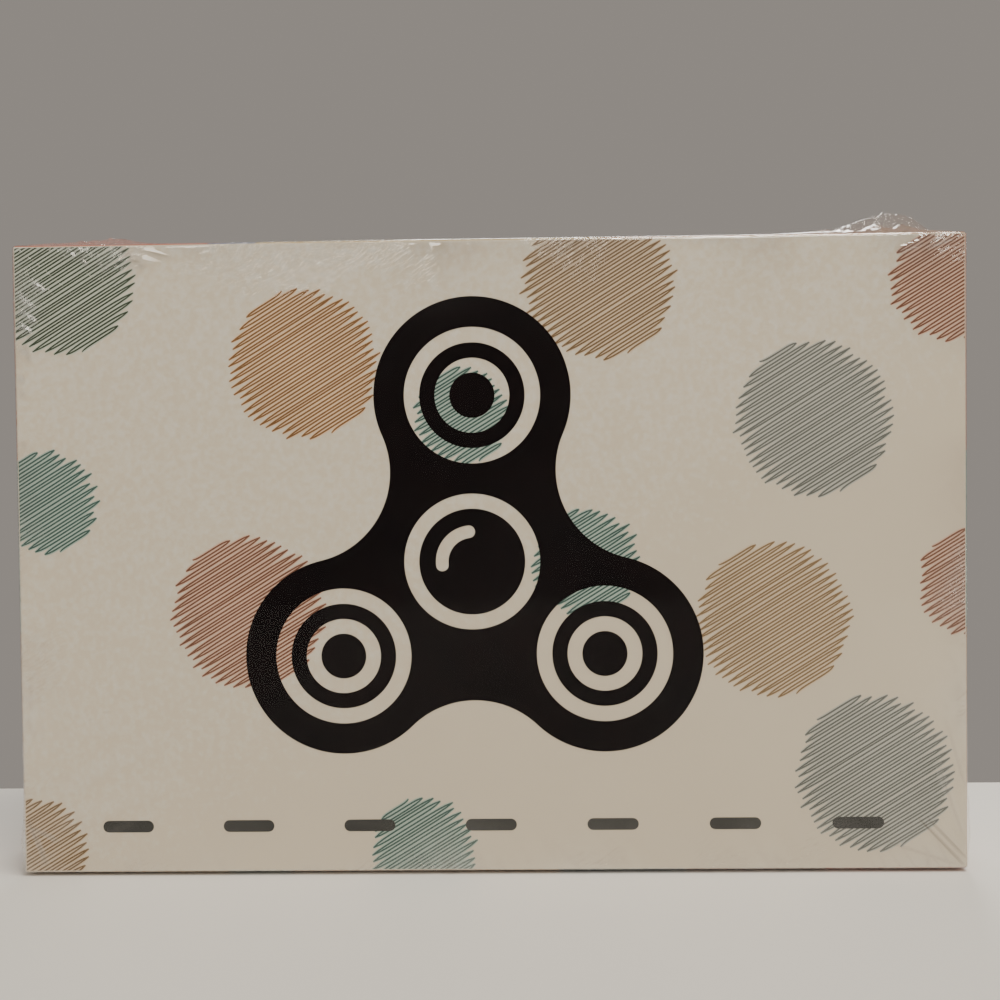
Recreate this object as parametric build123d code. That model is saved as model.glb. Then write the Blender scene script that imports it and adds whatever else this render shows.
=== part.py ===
"""Boxed three-arm game spinner, in millimetres.

The set stands on one long side: X runs along the box, Y from the printed face to the back, Z up.
The origin is under the middle of the box, on the surface it stands on.
A greyboard lid slides off a greyboard base towards -Y. A formed tray in the base holds the
spinner by its rear finger cap, so that the three-lobed frame turns in a round well.
Clear film, in two halves that part along the trim seal, wraps the whole box.
"""

import os
from math import cos, radians, sin, sqrt

from build123d import *

# Box
lid_width = 240.0
lid_height = 160.0
set_depth = 38.0
board = 1.8
paper = 0.2
liner = 0.15
stay = 0.15
edge_radius = 0.7
lid_clearance = 0.4
base_reveal = 2.2
rim_gap = 0.35
turn_in = 15.0
stay_leg = 12.0

# Film
film = 0.1
film_slack = 0.3
seal_fin = 1.2
seal_gap = 0.1

# Tray
tray_skin = 0.8
tray_clearance = 0.3
tray_below_rim = 1.0
tray_edge_radius = 2.0
well_radius = 46.0
recess_blend = 5.0
rim_radius = 1.2
recess_radius = 14.0
recess_offset = 50.0
socket_wall = 1.6
socket_height = 2.2
socket_clearance = 0.15
bead_radius = 0.9
bead_margin = 9.0

# Spinner
lobe_distance = 27.0
lobe_radius = 16.0
waist_radius = 14.7
frame_thickness = 8.0
frame_edge_radius = 1.4
spinner_below_tray = 1.0
lobe_angles = {"a": 90, "b": 210, "c": 330}

# Bearing, the common 8 x 22 x 7 size
bearing_bore = 4.0
bearing_radius = 11.0
bearing_width = 7.0
inner_land = 6.05
outer_land = 9.2
ball_radius = 1.985
ball_pitch = 7.5
ball_count = 7
groove_radius = 2.06
pocket_radius = 2.1
cage_wall = 1.2
cage_tip = 0.6
cage_back = 2.6
shield_seat = 9.5
shield_inner = 6.35
shield_thickness = 0.3
shield_recess = 0.3
ring_chamfer = 0.3

# Finger caps and plugs
cap_radius = 8.5
cap_height = 3.1
cap_edge_radius = 1.2
cap_dish_radius = 30.0
cap_dish_depth = 0.5
cap_step = 0.4
cap_step_radius = 5.4
cap_pin_radius = 2.0
cap_pin_length = 5.0
stem_length = 6.6
plug_length = 6.4
plug_chamfer = 0.3

# Derived places
centre_z = film + film_slack + lid_height / 2
front = -set_depth / 2
back = set_depth / 2
lid_front = front + film
base_back = back - film
lid_rim = base_back - base_reveal
lid_board_front = lid_front + paper
lid_board_inside = lid_board_front + board
base_board_back = base_back - paper
base_board_inside = base_board_back - board
base_rim = lid_board_inside + liner + rim_gap
tray_front = base_rim + tray_below_rim
tray_back = base_board_inside - liner
cap_face = bearing_width / 2 + cap_step + cap_height
spinner_middle = tray_front + spinner_below_tray + cap_face
well_floor = spinner_middle + cap_face + tray_skin / 8
board_offset = 2 * (paper + stay)
base_shrink = board_offset + 2 * (board + paper + lid_clearance)


def slab(shrink, y_near, y_far, radius=0.0, round_end="front"):
    """A block as wide and high as the lid less shrink, with its long edges and one end rounded."""
    size_x = lid_width - shrink
    size_z = lid_height - shrink
    block = Pos(0, (y_near + y_far) / 2, centre_z) * Box(size_x, y_far - y_near, size_z)
    if radius <= 0:
        return block
    ends = block.edges().group_by(Axis.Y)
    ring = ends[0] if round_end == "front" else ends[-1]
    return fillet(ring + block.edges().filter_by(Axis.Y), radius)


def write(name, shape):
    """Writes one named piece, which may be several solids."""
    shape.label = name
    export_step(shape, f"parts/{name}.step")


def folded_board(shrink, closed_end, inside, rim, round_end):
    """Scored greyboard: one panel and four walls, open at the rim."""
    near, far = min(closed_end, rim), max(closed_end, rim)
    outside = slab(shrink, near, far, edge_radius - paper, round_end)
    open_rim = rim + (1 if rim > inside else -1)
    hollow = slab(shrink + 2 * board, min(inside, open_rim), max(inside, open_rim))
    return outside - hollow


def glued_wrap(shrink, closed_end, rim, round_end):
    """Printed paper glued over a board shell, round its rim and down inside the walls."""
    into = 1 if rim > closed_end else -1
    board_end = closed_end + into * paper
    rim_board = rim - into * paper
    skin = slab(shrink, min(closed_end, rim), max(closed_end, rim), edge_radius, round_end)
    room = slab(
        shrink + 2 * paper,
        min(board_end, rim_board),
        max(board_end, rim_board),
        edge_radius - paper,
        round_end,
    )
    mouth_shrink = shrink + board_offset + 2 * board + 2 * paper
    mouth = slab(mouth_shrink, min(rim_board - into, rim + into), max(rim_board - into, rim + into))
    strip_shrink = shrink + board_offset + 2 * board
    strip_end = rim - into * turn_in
    strip = slab(strip_shrink, min(strip_end, rim), max(strip_end, rim))
    strip -= slab(mouth_shrink, min(strip_end, rim) - 1, max(strip_end, rim) + 1)
    return (skin - room - mouth) + strip


def corner_stays(shrink, y_near, y_far):
    """Four gummed paper angles that hold the corners of a board shell together."""
    half_x = (lid_width - shrink) / 2
    half_z = (lid_height - shrink) / 2
    length = y_far - y_near
    inner_edge = edge_radius - paper
    sleeve = slab(shrink - 2 * stay, y_near, y_far) - slab(shrink, y_near - 1, y_far + 1)
    angles = []
    for side_x in (-1, 1):
        for side_z in (-1, 1):
            reach = stay_leg + inner_edge
            corner = Box(2 * reach, length, 2 * reach)
            place = Pos(side_x * half_x, (y_near + y_far) / 2, centre_z + side_z * half_z)
            angle = sleeve & (place * corner)
            angles.append(rounded_corner(angle, side_x, side_z))
    return Compound(children=angles)


def rounded_corner(angle, side_x, side_z):
    """Rounds the outer corner of one paper angle, so that it lies inside the wrap."""
    outer = angle.edges().filter_by(Axis.Y).sort_by(
        lambda edge: side_x * edge.center().X + side_z * edge.center().Z
    )[-1]
    return fillet(outer, edge_radius - paper).solid()


def liner_sheet(shrink, y_near):
    """White paper glued to the inside of a panel."""
    return slab(shrink + 0.4, y_near, y_near + liner)


def film_half(side):
    """One half of the clear wrap, with its share of the trim seal on the sides and the top."""
    slack = -2 * film_slack
    closed_end = front if side < 0 else back
    seam = side * seal_gap / 2
    panel = closed_end - side * film
    near, far = min(closed_end, seam), max(closed_end, seam)
    skin = slab(slack - 2 * film, near, far)
    open_end = seam - side
    skin -= slab(slack, min(panel, open_end), max(panel, open_end))
    fin_near, fin_far = min(seam, seam + side * film), max(seam, seam + side * film)
    fin = slab(slack - 2 * film - 2 * seal_fin, fin_near, fin_far)
    fin -= slab(slack, fin_near - 1, fin_far + 1)
    low = centre_z - lid_height / 2 - film_slack
    under = Pos(0, 0, low - 5) * Box(lid_width * 2, set_depth * 2, 10)
    return skin + (fin - under)


def lobe_place(angle):
    """Centre of a lobe in the frame's own plane."""
    return lobe_distance * cos(radians(angle)), lobe_distance * sin(radians(angle))


def facing_front(shape, x=0.0, z=0.0):
    """Turns a shape modelled along +Z to face -Y, and puts it at x and z from the spinner's centre."""
    return Pos(x, spinner_middle, centre_z + z) * Rot(90, 0, 0) * shape


def frame_outline():
    """Three lobes joined by hollow waists, each waist an arc that is tangent to both lobes."""
    middle = lobe_distance * cos(radians(60))
    half_gap = lobe_distance * sin(radians(60))
    waist_out = middle + sqrt((lobe_radius + waist_radius) ** 2 - half_gap**2)
    share = lobe_radius / (lobe_radius + waist_radius)
    edges = []
    for angle in lobe_angles.values():
        lobe = Vector(*lobe_place(angle))
        before = Vector(waist_out, 0).rotate(Axis.Z, angle - 60)
        after = Vector(waist_out, 0).rotate(Axis.Z, angle + 60)
        following = Vector(*lobe_place(angle + 120))
        start = lobe + (before - lobe) * share
        tip = lobe + lobe.normalized() * lobe_radius
        end = lobe + (after - lobe) * share
        next_start = following + (after - following) * share
        deepest = after.normalized() * (waist_out - waist_radius)
        edges.append(ThreePointArc(start, tip, end))
        edges.append(ThreePointArc(end, deepest, next_start))
    return make_face(edges)


def spinner_frame():
    """The moulded three-lobed frame with four bearing seats."""
    body = extrude(frame_outline(), frame_thickness / 2, both=True)
    rims = body.edges().group_by(Axis.Z)
    body = fillet(rims[0] + rims[-1], frame_edge_radius)
    seats = [Cylinder(bearing_radius, frame_thickness * 2)]
    for angle in lobe_angles.values():
        seats.append(Pos(*lobe_place(angle), 0) * Cylinder(bearing_radius, frame_thickness * 2))
    for seat in seats:
        body -= seat
    return body


def tube(outer, inner, low, high):
    """A plain ring between two heights."""
    height = high - low
    place = Pos(0, 0, (low + high) / 2)
    return place * (Cylinder(outer, height) - Cylinder(inner, height * 2))


def outer_ring():
    """Outer race with its ball groove and a seat for a shield at each face."""
    half = bearing_width / 2
    ring = tube(bearing_radius, outer_land, -half, half)
    ring = chamfer(ring.edges().filter_by(GeomType.CIRCLE).sort_by(SortBy.RADIUS)[-2:], ring_chamfer)
    seat_depth = shield_recess + shield_thickness
    for side in (-1, 1):
        ring -= Pos(0, 0, side * (half - seat_depth / 2)) * Cylinder(shield_seat, seat_depth)
    return ring - Torus(ball_pitch, groove_radius)


def inner_ring():
    """Inner race with its ball groove."""
    half = bearing_width / 2
    ring = tube(inner_land, bearing_bore, -half, half)
    ring = chamfer(ring.edges().filter_by(GeomType.CIRCLE), ring_chamfer)
    return ring - Torus(ball_pitch, groove_radius)


def ball_places():
    """Places of the balls round the pitch circle."""
    return [Rot(0, 0, 360 / ball_count * i) * Pos(ball_pitch, 0, 0) for i in range(ball_count)]


def balls():
    """The balls, as separate solids."""
    return Compound(children=[place * Sphere(ball_radius) for place in ball_places()])


def cage():
    """Crown cage: a ring behind the balls with an open pocket for each."""
    ring = tube(ball_pitch + cage_wall / 2, ball_pitch - cage_wall / 2, -cage_back, cage_tip)
    for place in ball_places():
        ring -= place * Sphere(pocket_radius)
    return ring


def shield(side):
    """Thin washer that closes one face of a bearing, held in the outer ring."""
    outer_face = bearing_width / 2 - shield_recess
    low, high = sorted((side * outer_face, side * (outer_face - shield_thickness)))
    return tube(shield_seat, shield_inner, low, high)


def write_bearing(prefix, x, z):
    """Writes the six pieces of one bearing."""
    pieces = {
        "outer_ring": outer_ring(),
        "inner_ring": inner_ring(),
        "ball_cage": cage(),
        "balls": balls(),
        "front_shield": shield(1),
        "rear_shield": shield(-1),
    }
    for name, shape in pieces.items():
        write(f"{prefix}_{name}", facing_front(shape, x, z))


def cap_head():
    """Round finger pad with a soft rim and a slightly dished face."""
    foot = bearing_width / 2 + cap_step
    head = Pos(0, 0, foot + cap_height / 2) * Cylinder(cap_radius, cap_height)
    head = fillet(head.edges().group_by(Axis.Z)[-1], cap_edge_radius)
    dish_centre = foot + cap_height - cap_dish_depth + cap_dish_radius
    head -= Pos(0, 0, dish_centre) * Sphere(cap_dish_radius)
    return head + tube(cap_step_radius, cap_pin_radius / 2, bearing_width / 2, foot + 0.5)


def front_cap():
    """Finger cap with the stem that passes through the bearing."""
    half = bearing_width / 2
    cap = cap_head() + Pos(0, 0, half + 0.5 - stem_length / 2) * Cylinder(bearing_bore, stem_length + 1)
    socket_low = half - stem_length
    return cap - Pos(0, 0, socket_low + cap_pin_length / 2) * Cylinder(cap_pin_radius, cap_pin_length)


def rear_cap():
    """Finger cap with the pin that presses into the front cap's stem."""
    half = bearing_width / 2
    pin_length = cap_pin_length - 0.4
    pin = Pos(0, 0, half + 0.5 - pin_length / 2) * Cylinder(cap_pin_radius, pin_length + 1)
    return Rot(180, 0, 0) * (cap_head() + pin)


def plug():
    """Press-in plug that fills the bore of a lobe's bearing."""
    return chamfer(Cylinder(bearing_bore, plug_length).edges(), plug_chamfer)


def well_outline(grow=0.0):
    """Round well with a finger recess at each side, blended into it."""
    outline = Circle(well_radius + grow)
    for side in (-1, 1):
        outline += Pos(side * recess_offset, 0) * Circle(recess_radius + grow)
    return fillet(outline.vertices(), recess_blend - grow)


def is_on_face(edge):
    """True for an edge that lies in the tray's front face."""
    box = edge.bounding_box()
    return abs(box.min.Y - tray_front) < 0.001 and abs(box.max.Y - tray_front) < 0.001


def tray():
    """Formed tray: a platform on a skirt, with the spinner's well and the socket for its rear cap."""
    shrink = base_shrink + board_offset + 2 * (board + paper + tray_clearance)
    plane = Plane(origin=(0, tray_front, centre_z), x_dir=(1, 0, 0), z_dir=(0, -1, 0))
    depth = well_floor - tray_front
    outside = slab(shrink, tray_front, tray_back, tray_edge_radius)
    inside = slab(shrink + 2 * tray_skin, tray_front + tray_skin, tray_back + 1, tray_edge_radius - tray_skin)
    inside -= extrude(plane * well_outline(tray_skin), -(depth + tray_skin))
    body = outside - inside - extrude(plane * well_outline(), -depth)
    socket = tube(
        cap_radius + socket_clearance + socket_wall,
        cap_radius + socket_clearance,
        -cap_face - tray_skin / 4,
        -cap_face + socket_height,
    )
    rim = [edge for edge in body.edges().filter_by(GeomType.CIRCLE) if is_on_face(edge)]
    body = fillet(rim, rim_radius)
    body += facing_front(socket)
    bead = Torus(well_radius + recess_radius + bead_margin, bead_radius)
    return body + Pos(0, tray_front, centre_z) * Rot(90, 0, 0) * bead


def write_box():
    """Writes the lid, the base and what is glued to them."""
    lid_board = folded_board(
        board_offset, lid_board_front, lid_board_inside, lid_rim - paper, "front"
    )
    write("lid_board", lid_board)
    write("lid_printed_wrap", glued_wrap(0, lid_front, lid_rim, "front"))
    write("lid_corner_stays", corner_stays(board_offset, lid_board_front + 1, lid_rim - 1))
    write("lid_liner", liner_sheet(board_offset + 2 * board, lid_board_inside))
    shrink = base_shrink
    base_board = folded_board(
        shrink + board_offset, base_board_back, base_board_inside, base_rim + paper, "back"
    )
    write("base_board", base_board)
    write("base_printed_wrap", glued_wrap(shrink, base_back, base_rim, "back"))
    write("base_corner_stays", corner_stays(shrink + board_offset, base_rim + 1, base_board_back - 1))
    write("base_liner", liner_sheet(shrink + board_offset + 2 * board, base_board_inside - liner))
    write("insert_tray", tray())
    write("film_front_half", film_half(-1))
    write("film_back_half", film_half(1))


def write_spinner():
    """Writes the frame, the four bearings, the finger caps and the plugs."""
    write("spinner_frame", facing_front(spinner_frame()))
    write("front_finger_cap", facing_front(front_cap()))
    write("rear_finger_cap", facing_front(rear_cap()))
    write_bearing("hub_bearing", 0, 0)
    for name, angle in lobe_angles.items():
        x, z = lobe_place(angle)
        write_bearing(f"lobe_{name}_bearing", x, z)
        write(f"lobe_{name}_plug", facing_front(plug(), x, z))


os.makedirs("parts", exist_ok=True)
write_box()
write_spinner()
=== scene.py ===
import math
import random

import bmesh
import bpy
from mathutils import Matrix, Quaternion, Vector, noise


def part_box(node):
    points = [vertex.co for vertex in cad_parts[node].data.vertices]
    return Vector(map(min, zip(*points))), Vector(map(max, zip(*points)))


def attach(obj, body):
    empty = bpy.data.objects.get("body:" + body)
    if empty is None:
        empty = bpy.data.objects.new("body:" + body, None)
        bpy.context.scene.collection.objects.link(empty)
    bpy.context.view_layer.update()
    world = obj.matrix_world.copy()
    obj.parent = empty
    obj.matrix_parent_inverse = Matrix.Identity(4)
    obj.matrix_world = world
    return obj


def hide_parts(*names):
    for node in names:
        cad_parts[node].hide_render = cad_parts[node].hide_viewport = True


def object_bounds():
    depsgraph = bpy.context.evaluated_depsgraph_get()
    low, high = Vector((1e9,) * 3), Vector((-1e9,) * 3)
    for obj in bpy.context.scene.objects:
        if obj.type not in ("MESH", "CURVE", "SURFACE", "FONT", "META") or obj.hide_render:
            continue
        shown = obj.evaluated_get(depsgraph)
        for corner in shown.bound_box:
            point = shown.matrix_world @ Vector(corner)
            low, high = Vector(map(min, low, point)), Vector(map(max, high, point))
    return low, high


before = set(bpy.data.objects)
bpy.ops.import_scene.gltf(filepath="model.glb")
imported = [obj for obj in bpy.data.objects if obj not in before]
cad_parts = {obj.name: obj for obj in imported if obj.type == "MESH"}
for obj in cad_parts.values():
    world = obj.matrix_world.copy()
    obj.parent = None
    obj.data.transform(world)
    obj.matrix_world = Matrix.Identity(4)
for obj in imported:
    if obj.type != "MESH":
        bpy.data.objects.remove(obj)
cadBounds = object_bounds()

mm = 0.001
lidLow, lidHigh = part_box("lid_printed_wrap")
baseLow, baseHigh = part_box("base_printed_wrap")
panelMiddle = (lidLow + lidHigh) / 2      # middle of the lid, whose front is the printed panel
panelFace = lidLow.y
baseMiddle = (baseLow + baseHigh) / 2
halfWidth = (lidHigh.x - lidLow.x) / 2
halfHeight = (lidHigh.z - lidLow.z) / 2
baseHalfWidth = (baseHigh.x - baseLow.x) / 2
baseHalfHeight = (baseHigh.z - baseLow.z) / 2


view = {
    "lens": 38.95,
    "place": (0.0078, -0.2920, 0.1006),
    "aim": (0.0029, -0.0189, 0.0947),
    "rollDegrees": -0.65,
}
studio = {
    "skyColour": (0.335, 0.305, 0.275),
    "skyStrength": 0.85,
    "floor": {
        "wide": 1.6,
        "front": -0.62,
        "back": 0.060,
        "drop": 0.5 * mm,
        "colour": (0.80, 0.79, 0.75),
        "cloud": (0.84, 0.83, 0.79),
    },
    "lamps": {
        # name: (place, aim, width, height, watts, colour)
        "ceiling": ((0.32, -0.33, 1.12), (0, 0, 0.05), 0.62, 0.20, 10.4, (1.0, 0.93, 0.83)),
        "tubeRight": ((0.26, -0.78, 0.77), (0, 0, 0.10), 0.42, 0.13, 1.5, (1.0, 0.94, 0.84)),
        "tubeLeft": ((-0.27, -0.86, 0.54), (-0.05, 0, 0.10), 0.30, 0.30, 1.2, (1.0, 0.94, 0.84)),
        "fillLeft": ((-0.80, -0.70, 0.70), (0, 0, 0.08), 0.50, 0.50, 0.6, (1.0, 0.95, 0.88)),
        "backFill": ((0.10, 0.85, 0.80), (0, 0, 0.06), 0.60, 0.40, 7.0, (1.0, 0.97, 0.93)),
    },
}


def makeCamera():
    data = bpy.data.cameras.new("camera")
    data.lens = view["lens"]
    data.sensor_width = 36
    data.clip_start = 0.01
    data.clip_end = 20
    camera = bpy.data.objects.new("camera", data)
    bpy.context.collection.objects.link(camera)
    place = Vector(view["place"])
    look = (Vector(view["aim"]) - place).to_track_quat("-Z", "Y")
    roll = Quaternion((0, 0, 1), math.radians(view["rollDegrees"]))
    camera.rotation_mode = "QUATERNION"
    camera.location = place
    camera.rotation_quaternion = look @ roll
    bpy.context.scene.camera = camera


def makeLamps():
    for name, (place, aim, width, height, watts, colour) in studio["lamps"].items():
        data = bpy.data.lights.new(name, "AREA")
        data.shape = "RECTANGLE"
        data.size = width
        data.size_y = height
        data.energy = watts
        data.color = colour
        lamp = bpy.data.objects.new(name, data)
        lamp.visible_camera = False
        lamp.location = place
        lamp.rotation_mode = "QUATERNION"
        lamp.rotation_quaternion = (Vector(aim) - Vector(place)).to_track_quat("-Z", "Y")
        bpy.context.collection.objects.link(lamp)
    world = bpy.data.worlds.new("studio")
    world.use_nodes = True
    sky = world.node_tree.nodes["Background"]
    sky.inputs["Color"].default_value = (*studio["skyColour"], 1)
    sky.inputs["Strength"].default_value = studio["skyStrength"]
    bpy.context.scene.world = world


def startMaterial(name):
    material = bpy.data.materials.new(name)
    material.use_nodes = True
    tree = material.node_tree
    tree.nodes.clear()
    output = tree.nodes.new("ShaderNodeOutputMaterial")
    return material, tree, output


def addNode(tree, kind, links=None, **settings):
    # links: input name or index -> socket to join, or a plain value
    node = tree.nodes.new(kind)
    for key, value in settings.items():
        setattr(node, key, value)
    for key, value in (links or {}).items():
        if isinstance(value, bpy.types.NodeSocket):
            tree.links.new(value, node.inputs[key])
        else:
            node.inputs[key].default_value = value
    return node


def objectPlace(tree, scale=(1, 1, 1), centre=(0, 0, 0)):
    # object coordinates in metres, centred and then scaled
    coordinates = addNode(tree, "ShaderNodeTexCoord")
    shift = addNode(
        tree, "ShaderNodeVectorMath", {0: coordinates.outputs["Object"], 1: centre}, operation="SUBTRACT"
    )
    return addNode(
        tree, "ShaderNodeVectorMath", {0: shift.outputs[0], 1: scale}, operation="MULTIPLY"
    ).outputs[0]


def addNoise(tree, place, scale, detail=4.0, roughness=0.55, distortion=0.0):
    links = {
        "Vector": place,
        "Scale": scale,
        "Detail": detail,
        "Roughness": roughness,
        "Distortion": distortion,
    }
    return addNode(tree, "ShaderNodeTexNoise", links).outputs["Fac"]


def addMap(tree, value, fromLow, fromHigh, toLow, toHigh):
    links = {
        "Value": value,
        "From Min": fromLow,
        "From Max": fromHigh,
        "To Min": toLow,
        "To Max": toHigh,
    }
    return addNode(tree, "ShaderNodeMapRange", links).outputs["Result"]


def addMath(tree, operation, first, second=0.0):
    return addNode(tree, "ShaderNodeMath", {0: first, 1: second}, operation=operation).outputs[0]


def addMix(tree, share, first, second):
    node = tree.nodes.new("ShaderNodeMix")
    node.data_type = "RGBA"
    shareInput, firstColour, secondColour = node.inputs[0], node.inputs[6], node.inputs[7]
    for socket, value in ((shareInput, share), (firstColour, first), (secondColour, second)):
        if isinstance(value, bpy.types.NodeSocket):
            tree.links.new(value, socket)
        elif isinstance(value, (int, float)):
            socket.default_value = value
        else:
            socket.default_value = (*value, 1)
    return node.outputs[2]


def addBump(tree, height, strength, distance, normal=None):
    links = {"Height": height, "Strength": strength, "Distance": distance}
    if normal:
        links["Normal"] = normal
    return addNode(tree, "ShaderNodeBump", links).outputs["Normal"]


def finishPrincipled(tree, output, links):
    shader = addNode(tree, "ShaderNodeBsdfPrincipled", links)
    tree.links.new(shader.outputs["BSDF"], output.inputs["Surface"])


def darker(colour, share):
    return tuple(channel * share for channel in colour)


def axisDistance(tree, centre):
    # distance from the axis of the bearing that has this centre
    place = objectPlace(tree, (1, 0, 1), centre)
    return addNode(tree, "ShaderNodeVectorMath", {0: place}, operation="LENGTH").outputs["Value"]


paper = {
    "sheet": (0.740, 0.652, 0.522),
    "sheetShade": (0.722, 0.636, 0.506),
    "bareFold": (0.80, 0.77, 0.70),      # paper that shows where the ink is scuffed
    "fleck": (0.50, 0.47, 0.40),
    "grain": 2600,
    "blotch": 26,
    "wallTurn": 0.6,                     # a face counts as a wall when its normal leans this far
}
wallBands = {
    # share of the width or height where each colour starts, from the left or from below
    "top": [
        (0.00, (0.560, 0.120, 0.055)),
        (0.205, (0.110, 0.150, 0.300)),
        (0.255, (0.560, 0.400, 0.110)),
        (0.62, (0.520, 0.230, 0.090)),
    ],
    "bottom": [
        (0.00, (0.420, 0.220, 0.090)),
        (0.215, (0.090, 0.140, 0.170)),
        (0.285, (0.420, 0.200, 0.090)),
        (0.57, (0.045, 0.090, 0.210)),
        (0.70, (0.230, 0.050, 0.070)),
        (0.85, (0.480, 0.055, 0.045)),
    ],
    "sides": [
        (0.00, (0.520, 0.230, 0.090)),
        (0.38, (0.110, 0.290, 0.280)),
        (0.66, (0.560, 0.120, 0.055)),
    ],
}


def addBands(tree, place, axis, half, bands):
    along = addNode(tree, "ShaderNodeSeparateXYZ", {0: place}).outputs[axis]
    share = addMap(tree, along, -half, half, 0, 1)
    ramp = addNode(tree, "ShaderNodeValToRGB", {"Fac": share})
    ramp.color_ramp.interpolation = "CONSTANT"
    stops = ramp.color_ramp.elements
    while len(stops) < len(bands):
        stops.new(0.5)
    for stop, (start, colour) in zip(stops, bands):
        stop.position = start
        stop.color = (*colour, 1)
    return ramp.outputs["Color"]


def makePrintedPaper(name, middle, halfX, halfZ):
    material, tree, output = startMaterial(name)
    place = objectPlace(tree, centre=middle)
    facing = addNode(
        tree, "ShaderNodeSeparateXYZ", {0: addNode(tree, "ShaderNodeTexCoord").outputs["Normal"]}
    )
    isTop = addMath(tree, "GREATER_THAN", facing.outputs["Z"], paper["wallTurn"])
    isBottom = addMath(tree, "LESS_THAN", facing.outputs["Z"], -paper["wallTurn"])
    sideways = addMath(tree, "ABSOLUTE", facing.outputs["X"])
    isSide = addMath(tree, "GREATER_THAN", sideways, paper["wallTurn"])
    blotch = addNoise(tree, place, paper["blotch"], 5.0)
    grain = addNoise(tree, place, paper["grain"], 3.0, 0.7)
    colour = addMix(tree, addMap(tree, blotch, 0.35, 0.65, 0, 1), paper["sheet"], paper["sheetShade"])
    colour = addMix(tree, isTop, colour, addBands(tree, place, "X", halfX, wallBands["top"]))
    colour = addMix(tree, isBottom, colour, addBands(tree, place, "X", halfX, wallBands["bottom"]))
    colour = addMix(tree, isSide, colour, addBands(tree, place, "Z", halfZ, wallBands["sides"]))
    # specks of bare paper where the mesh bulges; on the flat walls they spread far in from the folds
    edge = addNode(tree, "ShaderNodeNewGeometry").outputs["Pointiness"]
    onFold = addMap(tree, edge, 0.53, 0.60, 0, 1)
    scuff = addMath(tree, "MULTIPLY", onFold, addNoise(tree, place, 700, 3.0))
    colour = addMix(tree, addMap(tree, scuff, 0.35, 0.62, 0, 0.7), colour, paper["bareFold"])
    colour = addMix(tree, addMap(tree, grain, 0.3, 0.8, 0.0, 0.05), colour, paper["fleck"])
    scratch = addNoise(tree, objectPlace(tree, (40, 40, 900), middle), 1.0, 2.0, 0.5, 1.5)
    scratched = addMap(tree, scratch, 0.45, 0.75, 0, 0.14)
    gloss = addMath(tree, "ADD", scratched, addMap(tree, blotch, 0, 1, 0.38, 0.52))
    bump = addBump(tree, grain, 0.10, 0.04 * mm)
    bump = addBump(tree, addNoise(tree, place, 320, 3.0), 0.10, 0.08 * mm, bump)
    finishPrincipled(
        tree,
        output,
        {"Base Color": colour, "Roughness": gloss, "Normal": bump, "Specular IOR Level": 0.3},
    )
    return material


def makeInk(name, colour, shade, roughness=0.42, specks=0.12):
    material, tree, output = startMaterial(name)
    place = objectPlace(tree)
    wash = addNoise(tree, place, 55, 4.0)
    speck = addNoise(tree, place, 2600, 2.0, 0.7)
    tone = addMix(tree, addMap(tree, wash, 0.3, 0.7, 0, 1), colour, shade)
    tone = addMix(tree, addMap(tree, speck, 0.62, 0.80, 0, specks), tone, paper["sheet"])
    gloss = addMap(tree, wash, 0.2, 0.8, roughness - 0.06, roughness + 0.08)
    bump = addBump(tree, speck, 0.4 * specks, 0.03 * mm)
    finishPrincipled(
        tree,
        output,
        {"Base Color": tone, "Roughness": gloss, "Normal": bump, "Specular IOR Level": 0.06},
    )
    return material


board = {
    "pulp": (0.245, 0.222, 0.190),
    "pulpPale": (0.350, 0.322, 0.280),
    "fleck": (0.09, 0.08, 0.075),
    "fibre": (0.52, 0.49, 0.43),
}


def makeGreyboard():
    material, tree, output = startMaterial("greyboard")
    place = objectPlace(tree)
    pulp = addNoise(tree, place, 160, 6.0, 0.65)
    fleck = addNode(tree, "ShaderNodeTexVoronoi", {"Vector": place, "Scale": 1100, "Randomness": 1.0})
    fibre = addNoise(tree, objectPlace(tree, (900, 220, 900)), 1.0, 4.0, 0.6, 2.0)
    colour = addMix(tree, addMap(tree, pulp, 0.3, 0.7, 0, 1), board["pulp"], board["pulpPale"])
    flecked = addMap(tree, fleck.outputs["Distance"], 0.0, 0.18, 0.55, 0)
    colour = addMix(tree, flecked, colour, board["fleck"])
    colour = addMix(tree, addMap(tree, fibre, 0.62, 0.75, 0, 0.6), colour, board["fibre"])
    bump = addBump(tree, fibre, 0.35, 0.06 * mm)
    bump = addBump(tree, pulp, 0.25, 0.12 * mm, bump)
    finishPrincipled(
        tree,
        output,
        {"Base Color": colour, "Roughness": 0.88, "Normal": bump, "Specular IOR Level": 0.25},
    )
    return material


def makePlainPaper(name, colour, shade, fibreScale):
    material, tree, output = startMaterial(name)
    drawnOut = (fibreScale, fibreScale, fibreScale * 0.2)
    fibre = addNoise(tree, objectPlace(tree, drawnOut), 1.0, 5.0, 0.65, 1.2)
    tooth = addNoise(tree, objectPlace(tree), 1900, 3.0, 0.7)
    tone = addMix(tree, addMap(tree, fibre, 0.35, 0.68, 0, 1), colour, shade)
    bump = addBump(tree, tooth, 0.22, 0.05 * mm)
    finishPrincipled(
        tree,
        output,
        {"Base Color": tone, "Roughness": 0.78, "Normal": bump, "Specular IOR Level": 0.3},
    )
    return material


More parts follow.
